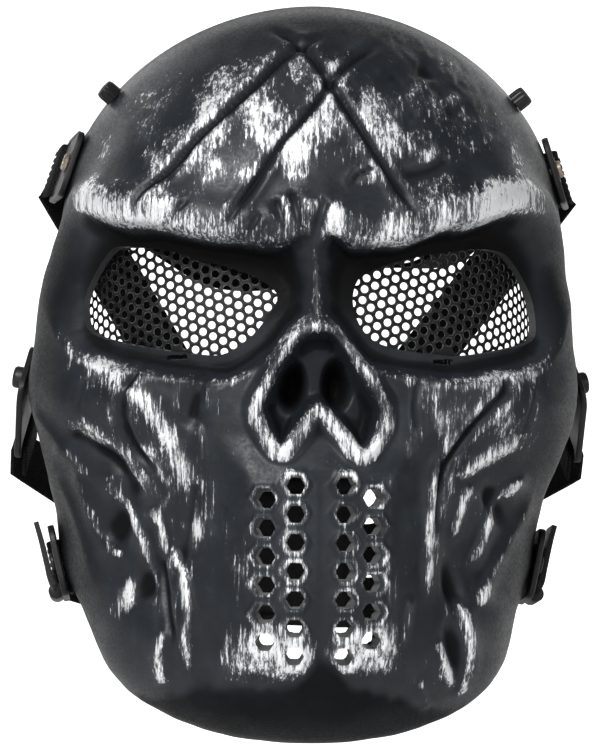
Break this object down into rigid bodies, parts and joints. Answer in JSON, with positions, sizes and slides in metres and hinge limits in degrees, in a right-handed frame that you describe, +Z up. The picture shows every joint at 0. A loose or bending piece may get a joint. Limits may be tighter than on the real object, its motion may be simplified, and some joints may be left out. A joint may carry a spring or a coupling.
{
  "type": "full-face skull mask with a strap harness",
  "caption": "Full-face skull mask: a moulded shell with perforated eye screens, honeycomb breath holes, strap buckles and a padded webbing harness.",
  "frame": {"origin": "inside the shell on its middle line, where the forehead of the wearer bears", "axes": "+Z up along the face, -Y the way the face looks, +X on the right of the picture"},
  "size_m": [0.2119, 0.2098, 0.2625],
  "materials": {
    "shell_plastic": "moulded plastic painted gunmetal with a dry-brushed silver",
    "screen_steel": "black perforated sheet",
    "black_plastic": "moulded black plastic",
    "black_steel": "blackened steel",
    "rivet_steel": "dull steel",
    "webbing": "woven black webbing",
    "pad_cloth": "black cloth over foam"
  },
  "bodies": {
    "root": {"shell": "shell_plastic", "eye_screen_left": "screen_steel", "eye_screen_right": "screen_steel", "top_plate_left": "black_plastic", "top_plate_right": "black_plastic", "top_plate_screw_left": "black_steel", "top_plate_screw_right": "black_steel", "temple_plate_left": "black_plastic", "temple_plate_right": "black_plastic", "temple_rivet_left": "rivet_steel", "temple_rivet_right": "rivet_steel", "ear_buckle_left": "black_plastic", "ear_buckle_right": "black_plastic", "ear_buckle_screw_left": "black_steel", "ear_buckle_screw_right": "black_steel", "jaw_buckle_left": "black_plastic", "jaw_buckle_right": "black_plastic", "jaw_buckle_screw_left": "black_steel", "jaw_buckle_screw_right": "black_steel", "upper_strap_left": "webbing", "upper_strap_right": "webbing", "ear_strap_left": "webbing", "ear_strap_right": "webbing", "lower_strap_left": "webbing", "lower_strap_right": "webbing", "crown_strap": "webbing", "back_pad": "pad_cloth"}
  },
  "joints": []
}
